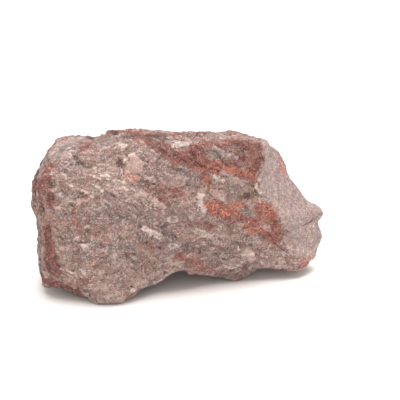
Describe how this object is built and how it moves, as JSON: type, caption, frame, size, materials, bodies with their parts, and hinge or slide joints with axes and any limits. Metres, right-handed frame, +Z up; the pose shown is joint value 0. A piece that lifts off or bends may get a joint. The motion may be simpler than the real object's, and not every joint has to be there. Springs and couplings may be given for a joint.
{
  "type": "rough rock",
  "caption": "Broken hand specimen of rough pinkish grey crystalline rock with iron-stained joints, arched underneath so that it rests on a nose, a lobe and its back.",
  "frame": {"origin": "on the surface that the rock rests on, under the middle of its bounding box", "axes": "+X along the rock's length, towards its smooth pointed end; -Y the way its broad broken face looks; +Z up"},
  "size_m": [0.0914, 0.0456, 0.0496],
  "materials": {
    "stone": "dry broken crystalline rock, dull with small glinting cleavage faces, iron-stained in streaks"
  },
  "bodies": {
    "root": {"rough_rock": "stone"}
  },
  "joints": []
}
